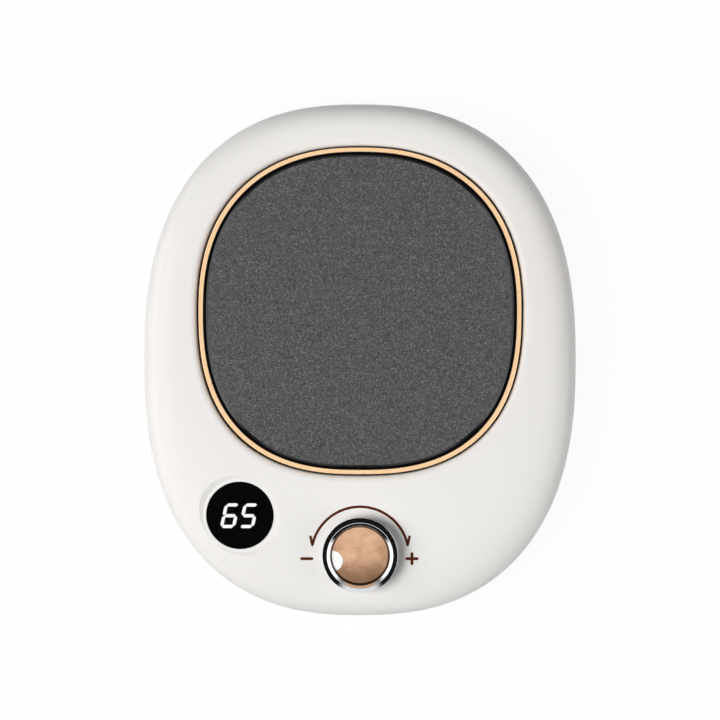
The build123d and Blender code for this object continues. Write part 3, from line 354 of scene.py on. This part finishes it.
def wood_material():
    """Fine even wood under clear satin lacquer, with painted shade: darker towards the front of the
    disc and round its rim, except at the rear.
    """
    s = Shader("insert_wood")
    place = knob_place(s)
    grain = s.noise(1.0, 4, 0.6, s.mapped((300, 900, 700), (0, 0, 50), (0, 0, 0), place), 0.9)
    cloud = s.noise(240, 2, 0.5, place, 0.4)
    pores = s.cells(1.0, place=s.mapped((1400, 4600, 2600), (0, 0, 50), (0, 0, 0), place))
    across, along, _ = s.apart(place)
    tone = s.total(s.product(grain, 0.35), s.product(cloud, 0.65))
    colour = s.ramp(
        tone,
        (0.28, srgb(192, 148, 115)),
        (0.45, srgb(214, 169, 135)),
        (0.60, srgb(224, 181, 145)),
        (0.74, srgb(238, 200, 164)),
    )
    # Painted shade: the front of the disc and its rim, except at the rear, are darkened in the
    # wood's colour, and this shade turns with the knob.
    edge = s.total(along, s.uneven(cloud, -WOOD_SHADE_WANDER * MM, WOOD_SHADE_WANDER * MM))
    front = s.spread(edge, WOOD_FRONT_SHADE[0] * MM, WOOD_FRONT_SHADE[1] * MM, 0.9, 0.0, smooth=True)
    radius = s.length(across, along)
    painted_rim_shade = s.spread(radius, WOOD_RIM_SHADE[0] * MM, WOOD_RIM_SHADE[1] * MM, 0.0, 0.35, smooth=True)
    rear = s.spread(along, WOOD_RIM_SHADE_END[0] * MM, WOOD_RIM_SHADE_END[1] * MM, 1.0, 0.0, smooth=True)
    painted_shade = s.math("MAXIMUM", front, s.product(painted_rim_shade, rear))
    # The dark brown here is the painted shade colour, mixed into the wood.
    wood_with_painted_shade = s.mix(painted_shade, colour, srgb(122, 88, 62))
    dark_pores = s.spread(pores, 0.05, 0.2, 0.9, 1.0)
    s.set(
        Base_Color=s.mix(dark_pores, srgb(164, 122, 92), wood_with_painted_shade),
        Roughness=s.uneven(grain, 0.38, 0.5),
        Specular_IOR_Level=0.3,
        Coat_Weight=0.3,
        Coat_Roughness=0.2,
        Normal=s.bump(grain, 0.02, 0.3),
    )
    return s.material


def marker_material():
    """Gloss white inlay."""
    s = Shader("marker_white")
    s.set(
        Base_Color=s.tones(s.noise(300, 2), srgb(250, 249, 247), srgb(254, 253, 252)),
        Roughness=s.uneven(s.noise(700, 3), 0.18, 0.26),
        Normal=s.bump(s.noise(900, 2), 0.004, 0.3),
    )
    return s.material


def lens_material():
    """Smoked acrylic, printed black behind, with a clearer window for the lit bars."""
    s = Shader("lens_smoke")
    across, along, _ = s.apart(s.mapped(start=(LENS_X * MM, LENS_Y * MM, 0)))
    window = 1.0
    for distance, half in ((across, WINDOW_X), (along, WINDOW_Y)):
        off = s.math("ABSOLUTE", distance)
        inside = s.spread(off, (half - WINDOW_FADE) * MM, half * MM, 1.0, 0.0, smooth=True)
        window = s.product(inside, window)
    s.set(
        Base_Color=srgb(2, 2, 3),
        Alpha=s.choose(window, 1.0, LENS_ALPHA),
        Roughness=0.06,
        Specular_IOR_Level=0.02,
        Normal=s.bump(s.noise(240, 2), 0.004, 0.15),
    )
    return s.material


def lit_material():
    """Lit bars of the display."""
    s = Shader("digit_lit")
    s.set(
        Base_Color=s.tones(s.noise(500, 2), srgb(246, 248, 252), srgb(252, 253, 255)),
        Emission_Color=(0.97, 0.98, 1.0, 1.0),
        Emission_Strength=FIGURE_GLOW,
        Roughness=0.4,
    )
    return s.material


def unlit_material():
    """Unlit bars: dull translucent plastic."""
    s = Shader("digit_off")
    s.set(
        Base_Color=s.tones(s.noise(600, 3), srgb(30, 30, 31), srgb(38, 38, 39)),
        Roughness=s.uneven(s.noise(900, 3), 0.4, 0.55),
        Normal=s.bump(s.noise(1800, 2), 0.006, 0.3),
    )
    return s.material


def ink_material():
    """Brown printed ink."""
    s = Shader("legend_ink")
    s.set(
        Base_Color=s.tones(s.noise(900, 3), srgb(68, 23, 4), srgb(82, 29, 6)),
        Specular_IOR_Level=0.25,
        Roughness=s.uneven(s.noise(1500, 3), 0.45, 0.6),
        Normal=s.bump(s.noise(2500, 2), 0.004, 0.4),
    )
    return s.material


# ---- plain families for the pieces inside and underneath ----
def moulded(name, low, high, rough, grain=900, depth=0.012, gloss=0.5):
    """Moulded plastic or rubber with a fine grain and slightly uneven tone."""
    s = Shader(name)
    fine = s.noise(grain, 4, 0.65)
    s.set(
        Base_Color=s.tones(s.noise(70, 4, 0.6), low, high),
        Roughness=s.uneven(fine, rough[0], rough[1]),
        Specular_IOR_Level=gloss,
        Normal=s.bump(fine, depth, 0.5),
    )
    return s.material


def brushed(name, low, high, rough, stretch=(60, 3000, 3000)):
    """Rolled or brushed metal with fine lines one way."""
    s = Shader(name)
    lines = s.noise(1.0, 4, 0.7, s.mapped(stretch))
    s.set(
        Base_Color=s.mix(s.noise(45, 4, 0.6), s.tones(lines, low, high), high),
        Metallic=1.0,
        Roughness=s.spread(lines, 0.25, 0.75, rough[0], rough[1]),
        Normal=s.bump(lines, 0.008, 0.4),
    )
    return s.material


def plated(name, low, high, rough):
    """Plated hardware: bright, with small stains and a soft grain."""
    s = Shader(name)
    stain = s.noise(500, 5, 0.7)
    s.set(
        Base_Color=s.ramp(stain, (0.28, low), (0.62, high)),
        Metallic=1.0,
        Roughness=s.uneven(s.noise(1600, 4, 0.7), rough[0], rough[1]),
        Normal=s.bump(s.noise(2200, 3), 0.006, 0.4),
    )
    return s.material


def board_material():
    """Circuit board: green mask over copper runs, tinned pads and a glass-cloth edge."""
    s = Shader("board_green")
    flat = s.node("ShaderNodeCombineXYZ")
    x, y, _ = s.apart(s.place)
    s.link(x, flat.inputs["X"])
    s.link(y, flat.inputs["Y"])
    grid = s.cells(210, "Color", flat.outputs[0], 0.0)
    pick = s.apart(grid)[0]
    along = s.wave(190, flat.outputs[0], "X")
    across = s.wave(190, flat.outputs[0], "Y")
    line = s.choose(s.math("GREATER_THAN", pick, 0.5), across, along)
    track = s.spread(line, 0.62, 0.7)
    pads = s.cells(260, place=flat.outputs[0], randomness=0.35)
    pad = s.spread(pads, 0.13, 0.10)
    faces = s.spread(s.math("ABSOLUTE", s.upward()), 0.6, 0.8)
    mask = s.mix(track, srgb(18, 92, 58), srgb(40, 128, 82))
    top = s.mix(pad, mask, srgb(196, 198, 196))
    cloth = s.ramp(s.noise(2200, 2), (0.35, srgb(150, 148, 96)), (0.65, srgb(182, 178, 122)))
    s.set(
        Base_Color=s.mix(faces, cloth, top),
        Roughness=s.choose(pad, 0.34, 0.22),
        Normal=s.bump(s.math("ADD", track, pad), 0.03, 0.6),
    )
    return s.material


def film_material():
    """Amber film over an etched foil element laid in long bends."""
    s = Shader("film_amber")
    loops = s.wave(90, bands="Y", distortion=1.2, detail=0.5)
    foil = s.spread(loops, 0.45, 0.55)
    amber = s.tones(s.noise(120, 3), srgb(196, 112, 30), srgb(214, 130, 40))
    s.set(
        Base_Color=s.mix(foil, amber, srgb(150, 96, 44)),
        Roughness=s.uneven(s.noise(400, 3), 0.25, 0.38),
        Coat_Weight=0.4,
        Normal=s.bump(foil, 0.02, 0.6),
    )
    return s.material


def felt_material():
    """Needled glass felt: two layers of crossing fibres."""
    s = Shader("pad_felt")
    fibres = s.noise(1.0, 5, 0.75, s.mapped((900, 2600, 1500), (0, 0, 25)), 1.4)
    crossing = s.noise(1.0, 5, 0.75, s.mapped((2600, 900, 1500), (0, 0, -20)), 1.4)
    both = s.math("MAXIMUM", fibres, crossing)
    s.set(
        Base_Color=s.ramp(both, (0.35, srgb(196, 190, 172)), (0.75, srgb(240, 236, 224))),
        Roughness=0.95,
        Specular_IOR_Level=0.1,
        Normal=s.bump(both, 0.15, 0.8),
    )
    return s.material


def chip_material():
    """Moulded package, matt with a fine spark-eroded grain."""
    s = Shader("chip_black")
    fine = s.noise(2400, 3, 0.6)
    s.set(
        Base_Color=s.tones(fine, srgb(34, 34, 36), srgb(48, 48, 51)),
        Roughness=s.uneven(fine, 0.5, 0.68),
        Normal=s.bump(fine, 0.012, 0.6),
    )
    return s.material


def wire_material(name, low, high):
    """Silicone sleeve with a soft sheen and slight wrinkles."""
    s = Shader(name)
    rings = s.noise(1.0, 3, 0.6, s.mapped((900, 900, 900)))
    s.set(
        Base_Color=s.tones(s.noise(160, 3), low, high),
        Roughness=s.uneven(rings, 0.42, 0.58),
        Sheen_Weight=0.15,
        Normal=s.bump(rings, 0.02, 0.4),
    )
    return s.material


def can_material():
    """Drawn aluminium can with a dark sleeve up to its shoulder."""
    s = Shader("can_silver")
    top = s.spread(s.upward(), 0.6, 0.75)
    sleeve = s.tones(s.noise(500, 3), srgb(38, 40, 48), srgb(50, 52, 62))
    disc = s.tones(s.noise(1400, 4, 0.7), srgb(184, 185, 187), srgb(214, 215, 216))
    s.set(
        Base_Color=s.mix(top, sleeve, disc),
        Metallic=top,
        Roughness=s.uneven(s.noise(1200, 3), 0.26, 0.36),
        Normal=s.bump(s.noise(1800, 3), 0.006, 0.4),
    )
    return s.material


# ---- which node wears what ----
finishes = {
    shell_material(): ["top_shell", "base_shell"],
    glass_material(): ["plate_glass"],
    gold_material(): ["trim_ring"],
    chrome_material(): ["knob_collar"],
    wood_material(): ["knob_insert"],
    marker_material(): ["knob_marker"],
    lens_material(): ["display_lens"],
    lit_material(): ["display_digits"],
    unlit_material(): ["display_segments_off"],
    moulded("module_black", srgb(40, 40, 41), srgb(50, 50, 52), (0.6, 0.75), 1600, 0.008, 0.2): [
        "display_module",
    ],
    moulded("seal_black", srgb(5, 5, 5), srgb(10, 10, 10), (0.7, 0.85), 1400, 0.015, 0.1): [
        "plate_seal",
    ],
    moulded("frame_black", srgb(8, 8, 8), srgb(14, 14, 15), (0.6, 0.75), 1200, 0.012, 0.15): [
        "plate_frame",
    ],
    moulded("foot_rubber", srgb(62, 62, 63), srgb(76, 76, 77), (0.7, 0.85), 1100, 0.03, 0.3): [
        "rubber_feet",
    ],
    moulded("hub_black", srgb(26, 26, 27), srgb(36, 36, 38), (0.45, 0.6)): ["knob_hub"],
    moulded("plunger_black", srgb(30, 30, 32), srgb(42, 42, 44), (0.4, 0.5)): ["encoder_plunger"],
    moulded("cutout_black", srgb(24, 24, 26), srgb(34, 34, 36), (0.3, 0.42)): ["thermal_cutout"],
    moulded("buzzer_black", srgb(20, 20, 22), srgb(30, 30, 32), (0.4, 0.55), 1300): ["buzzer"],
    moulded("inlet_black", srgb(20, 20, 21), srgb(28, 28, 30), (0.35, 0.45)): [
        "usb_socket_tongue",
    ],
    moulded("sensor_white", srgb(226, 222, 208), srgb(238, 235, 224), (0.45, 0.6)): [
        "temperature_sensor",
    ],
    moulded("connector_cream", srgb(232, 224, 198), srgb(242, 236, 214), (0.35, 0.48)): [
        "display_connector", "control_connectors", "board_connectors",
    ],
    brushed("spreader_aluminium", srgb(212, 213, 215), srgb(228, 229, 231), (0.28, 0.42)): [
        "heat_spreader",
    ],
    brushed(
        "retainer_steel", srgb(176, 177, 180), srgb(204, 205, 208), (0.3, 0.45), (3000, 60, 3000)
    ): [
        "heater_retainer",
    ],
    brushed(
        "inlet_steel", srgb(196, 196, 198), srgb(216, 216, 218), (0.22, 0.32), (2600, 90, 2600)
    ): [
        "usb_socket_shell",
    ],
    brushed(
        "dome_steel", srgb(206, 206, 208), srgb(224, 224, 226), (0.18, 0.28), (1500, 90, 1500)
    ): [
        "snap_dome",
    ],
    plated("screw_steel", srgb(150, 151, 155), srgb(202, 203, 206), (0.26, 0.4)): [
        "housing_screws", "retainer_screws", "display_screws", "control_screws",
        "power_board_screws",
    ],
    plated("case_grey", srgb(160, 161, 165), srgb(192, 193, 197), (0.34, 0.48)): ["encoder_case"],
    plated("shaft_steel", srgb(178, 178, 182), srgb(208, 208, 211), (0.24, 0.34)): [
        "encoder_shaft",
    ],
    plated("pin_brass", srgb(198, 186, 140), srgb(226, 214, 170), (0.24, 0.36)): [
        "encoder_terminals",
    ],
    board_material(): ["control_board", "display_board", "power_board"],
    film_material(): ["heating_film"],
    felt_material(): ["insulation_pad"],
    chip_material(): ["microcontroller", "power_transistor"],
    wire_material("lead_red", srgb(168, 34, 28), srgb(188, 44, 36)): ["heater_leads"],
    wire_material("lead_black", srgb(28, 28, 29), srgb(40, 40, 42)): ["sensor_leads"],
    wire_material("lead_grey", srgb(152, 154, 158), srgb(176, 178, 182)): [
        "display_harness", "panel_harness",
    ],
    can_material(): ["capacitors"],
}
for material, names in finishes.items():
    for name in names:
        for place in frame["nodes"][name].material_slots:
            place.material = material


# ---- printed legend, laid on the shell ----
def surface_of(name):
    """Search tree over a CAD node's triangles."""
    mesh = frame["nodes"][name].data
    return BVHTree.FromPolygons(
        [v.co.copy() for v in mesh.vertices], [tuple(p.vertices) for p in mesh.polygons]
    )


shell_surface = surface_of("top_shell")


def on_shell(x, y):
    """Point of the shell's outer surface over a place given in millimetres."""
    hit = shell_surface.ray_cast(Vector((x * MM, y * MM, RAY_START * MM)), Vector((0, 0, -1)))
    return hit[0], hit[1]


def stroke_outline(points, width):
    """Left and right sides of a line through points, with mitred turns."""
    lefts, rights = [], []
    for number, point in enumerate(points):
        before = points[max(number - 1, 0)]
        after = points[min(number + 1, len(points) - 1)]
        along = Vector((after[0] - before[0], after[1] - before[1])).normalized()
        side = Vector((-along.y, along.x)) * width / 2
        lefts.append((point[0] + side.x, point[1] + side.y))
        rights.append((point[0] - side.x, point[1] - side.y))
    return lefts, rights


def round_end(point, towards, width, steps=6):
    """Half circle past the end of a line."""
    along = Vector((point[0] - towards[0], point[1] - towards[1])).normalized()
    first = math.atan2(along.y, along.x) + math.pi / 2
    return [
        (
            point[0] + width / 2 * math.cos(first - math.pi * step / steps),
            point[1] + width / 2 * math.sin(first - math.pi * step / steps),
        )
        for step in range(1, steps)
    ]


def ink_stroke(name, points, width):
    """Closed thin solid that follows a line over the shell."""
    lefts, rights = stroke_outline(points, width)
    front_cap = round_end(points[-1], points[-2], width)
    back_cap = round_end(points[0], points[1], width)
    loop = lefts + front_cap + rights[::-1] + back_cap
    vertices = []
    for lift in (INK_ABOVE, -INK_BELOW):
        for x, y in loop:
            here, normal = on_shell(x, y)
            vertices.append(here + normal * lift * MM)
    count = len(loop)
    half = len(points)
    cap = len(front_cap)
    left = list(range(half))
    front = list(range(half, half + cap))
    right = list(range(half + cap, 2 * half + cap))[::-1]
    back = list(range(2 * half + cap, count))
    top = [(left[i], right[i], right[i + 1], left[i + 1]) for i in range(half - 1)]
    top.append(tuple([left[-1], right[-1]] + front[::-1]))
    top.append(tuple([right[0], left[0]] + back[::-1]))
    under = [tuple(i + count for i in reversed(face)) for face in top]
    sides = []
    for i in range(count):
        j = (i + 1) % count
        sides.append((i, j, j + count, i + count))
    mesh = bpy.data.meshes.new(name)
    mesh.from_pydata(vertices, [], top + under + sides)
    mesh.validate()
    mesh.update()
    piece = bpy.data.objects.new(name, mesh)
    bpy.context.scene.collection.objects.link(piece)
    return piece


def joined(name, strokes):
    """One piece out of several strokes."""
    vertices, faces = [], []
    for stroke in strokes:
        start = len(vertices)
        vertices.extend(v.co.copy() for v in stroke.data.vertices)
        faces.extend(tuple(i + start for i in p.vertices) for p in stroke.data.polygons)
        bpy.data.objects.remove(stroke)
    mesh = bpy.data.meshes.new(name)
    mesh.from_pydata(vertices, [], faces)
    mesh.update()
    piece = bpy.data.objects.new(name, mesh)
    bpy.context.scene.collection.objects.link(piece)
    piece.data.materials.append(ink)
    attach(piece, "housing")
    return piece


def line_points(first, last, steps=8):
    """Evenly spaced points from first to last."""
    return [
        (first[0] + (last[0] - first[0]) * i / steps, first[1] + (last[1] - first[1]) * i / steps)
        for i in range(steps + 1)
    ]


def arc_points(x, y, radius, first, last, steps):
    """Points on an arc, angles in degrees."""
    return [
        (
            x + radius * math.cos(math.radians(first + (last - first) * i / steps)),
            y + radius * math.sin(math.radians(first + (last - first) * i / steps)),
        )
        for i in range(steps + 1)
    ]


ink = ink_material()
arc = arc_points(0, ARC_Y, ARC_RADIUS, ARC_FIRST, ARC_LAST, ARC_STEPS)
right_tip, left_tip = arc[0], arc[-1]
right_end = (right_tip[0] + BARB_OUT, right_tip[1] + BARB_UP)
left_end = (left_tip[0] - BARB_OUT, left_tip[1] + BARB_UP)
joined("legend_arrow", [
    ink_stroke("arc", arc, INK_WIDTH),
    ink_stroke("right_barb", line_points(right_tip, right_end), INK_WIDTH),
    ink_stroke("left_barb", line_points(left_tip, left_end), INK_WIDTH),
])
reach = (SIGN_LENGTH - SIGN_WIDTH) / 2
upright = line_points((PLUS_X, SIGNS_Y - reach), (PLUS_X, SIGNS_Y + reach))


def level_points(x):
    """Points of the level bar of a sign, from the place of its middle."""
    return line_points((x - reach, SIGNS_Y), (x + reach, SIGNS_Y))


joined("legend_minus", [
    ink_stroke("bar", level_points(MINUS_X), SIGN_WIDTH),
])
joined("legend_plus", [
    ink_stroke("level", level_points(PLUS_X), SIGN_WIDTH),
    ink_stroke("upright", upright, SIGN_WIDTH),
])


# ---- light ----
def studio_gloss(w, direction):
    """What polished surfaces see: dark walls, cards at the sides and in front, one overhead."""
    x, y, z = w.apart(direction)
    side = w.rise(w.math("ABSOLUTE", x), 0.28, 0.56)
    rear_fade = w.spread(y, 0.10, 0.45, 1.0, 0.0, smooth=True)
    front_fade = w.rise(y, -0.60, -0.40)
    foot = w.rise(w.total(z, w.product(y, -0.15)), 0.665, 0.70)
    head = w.spread(z, 0.84, 0.90, 1.0, 0.0)
    tall = w.product(side, foot, head, rear_fade, front_fade, CARD_SIDE)
    left = w.product(
        w.rise(w.product(x, -1.0), 0.70, 0.85), w.spread(z, 0.24, 0.32, CARD_LEFT, 0.0, smooth=True)
    )
    right = w.product(
        w.rise(x, 0.70, 0.85), w.spread(z, 0.26, 0.36, CARD_RIGHT, 0.0, smooth=True)
    )
    overhead = w.product(w.rise(z, 0.90, 0.95), CARD_OVERHEAD)
    front = w.product(
        w.spread(y, -0.90, -0.78, 1.0, 0.0, smooth=True),
        w.spread(z, 0.38, 0.50, CARD_FRONT, FRONT_WALL),
    )
    return w.total(tall, left, right, overhead, front, WALLS)


def warm_card(w, direction):
    """Share of the warm card behind the object."""
    _, y, z = w.apart(direction)
    return w.product(
        w.rise(y, 0.30, 0.42), w.rise(z, 0.78, 0.82), w.spread(z, 0.88, 0.92, 1.0, 0.0, smooth=True)
    )


def world_light():
    """White to the camera, even fill for matt surfaces, the studio above for polished ones."""
    world = bpy.data.worlds.new("studio")
    bpy.context.scene.world = world
    world.use_nodes = True
    world.node_tree.nodes.clear()
    w = Nodes(world.node_tree)
    direction = w.node("ShaderNodeTexCoord").outputs["Generated"]
    warm = warm_card(w, direction)
    gloss = w.total(studio_gloss(w, direction), w.product(warm, CARD_WARM))
    path = w.node("ShaderNodeLightPath")
    polished = w.math("MAXIMUM", path.outputs["Is Glossy Ray"], path.outputs["Is Transmission Ray"])
    lit = w.choose(polished, FILL, gloss)
    tint = w.node("ShaderNodeMix", data_type="RGBA")
    w.link(w.product(warm, polished), tint.inputs[0])
    tint.inputs[6].default_value = (1.0, 1.0, 1.0, 1.0)
    tint.inputs[7].default_value = srgb(*CARD_WARM_COLOUR)
    background = w.node("ShaderNodeBackground")
    w.link(tint.outputs[2], background.inputs["Color"])
    w.link(w.choose(path.outputs["Is Camera Ray"], lit, 1.0), background.inputs["Strength"])
    w.link(background.outputs[0], w.node("ShaderNodeOutputWorld").inputs["Surface"])


def lamp(name, azimuth, elevation, watts):
    """Soft square lamp aimed at the middle; the camera and polished surfaces don't show it."""
    light = bpy.data.lights.new(name, "AREA")
    light.shape = "SQUARE"
    light.size = LAMP_SIZE
    light.energy = watts
    made = bpy.data.objects.new(name, light)
    bpy.context.scene.collection.objects.link(made)
    round_angle, up_angle = math.radians(azimuth), math.radians(elevation)
    level = math.cos(up_angle)
    made.location = LAMP_DISTANCE * Vector((
        math.cos(round_angle) * level, math.sin(round_angle) * level, math.sin(up_angle)
    ))
    made.rotation_mode = "QUATERNION"
    made.rotation_quaternion = (-made.location).to_track_quat("-Z", "Y")
    made.visible_camera = False
    made.visible_glossy = False


world_light()
for settings in LAMPS:
    lamp(*settings)


# ---- floor ----
def floor_material():
    """Nearly white to the camera, with a faint matt share that takes the object's shadow."""
    s = Shader("floor_white")
    path = s.node("ShaderNodeLightPath")
    seen = s.math("MAXIMUM", path.outputs["Is Camera Ray"], path.outputs["Is Transmission Ray"])
    s.set(Base_Color=srgb(236, 236, 236), Roughness=0.9, Specular_IOR_Level=0.0)
    glow = s.node("ShaderNodeEmission")
    blend = s.node("ShaderNodeMixShader")
    s.link(s.product(seen, FLOOR_GLOW), blend.inputs["Fac"])
    s.link(s.surface.outputs[0], blend.inputs[1])
    s.link(glow.outputs[0], blend.inputs[2])
    s.link(blend.outputs[0], s.tree.nodes["Material Output"].inputs["Surface"])
    return s.material


floor_mesh = bpy.data.meshes.new("floor")
rim = arc_points(0, 0, FLOOR_RADIUS, 0, 360, FLOOR_POINTS)[:-1]
floor_mesh.from_pydata(
    [(x * MM, y * MM, 0) for x, y in rim], [], [tuple(range(len(rim)))]
)
floor = bpy.data.objects.new("floor", floor_mesh)
bpy.context.scene.collection.objects.link(floor)
floor.data.materials.append(floor_material())

# ---- camera, straight over the middle ----
distance = PIXEL_MM * FRAME_PIXELS * CAMERA_LENS / SENSOR
camera_data = bpy.data.cameras.new("camera")
camera_data.lens = CAMERA_LENS
camera_data.sensor_width = SENSOR
camera = bpy.data.objects.new("camera", camera_data)
bpy.context.scene.collection.objects.link(camera)
camera.location = (0, 0, (BELT_MM + distance) * MM)
camera.rotation_euler = (0, 0, 0)
camera_data.clip_end = CLIP_END
bpy.context.scene.camera = camera
bpy.context.scene.view_settings.view_transform = "Standard"
